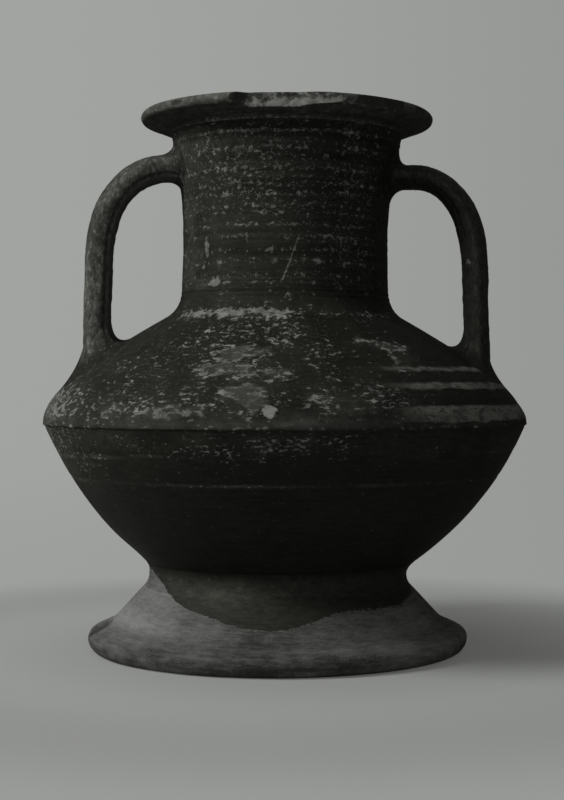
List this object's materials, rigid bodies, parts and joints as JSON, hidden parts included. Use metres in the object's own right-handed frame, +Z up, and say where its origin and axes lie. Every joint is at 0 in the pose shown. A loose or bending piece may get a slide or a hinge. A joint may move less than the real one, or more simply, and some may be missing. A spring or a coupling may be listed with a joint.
{
  "type": "two-handled jar",
  "caption": "Ceramic jar with loop handles from neck to shoulder, a sharp-edged round body, a flared hollow foot and an out-turned rim, in worn black slip; holds liquids or dry goods.",
  "frame": {"origin": "on the table, at the middle of the base of the object's box, below the centre of the body", "axes": "+Z up out of the mouth, X along the line through both handles"},
  "size_m": [0.1864, 0.1864, 0.207],
  "materials": {
    "bare_clay": "bare fired clay, matt, with wiping streaks, pits and an irregular edge of black slip",
    "black_slip": "thin black slip, dull sheen, worn through to grey clay in specks and patches"
  },
  "bodies": {
    "root": {"foot": "bare_clay", "lower_body": "black_slip", "shoulder": "black_slip", "neck": "black_slip", "rim": "black_slip", "foot_luting_fillet": "black_slip", "neck_luting_fillet": "black_slip", "left_handle": "black_slip", "left_neck_collar": "black_slip", "left_shoulder_collar": "black_slip", "right_handle": "black_slip", "right_neck_collar": "black_slip", "right_shoulder_collar": "black_slip"}
  },
  "joints": []
}
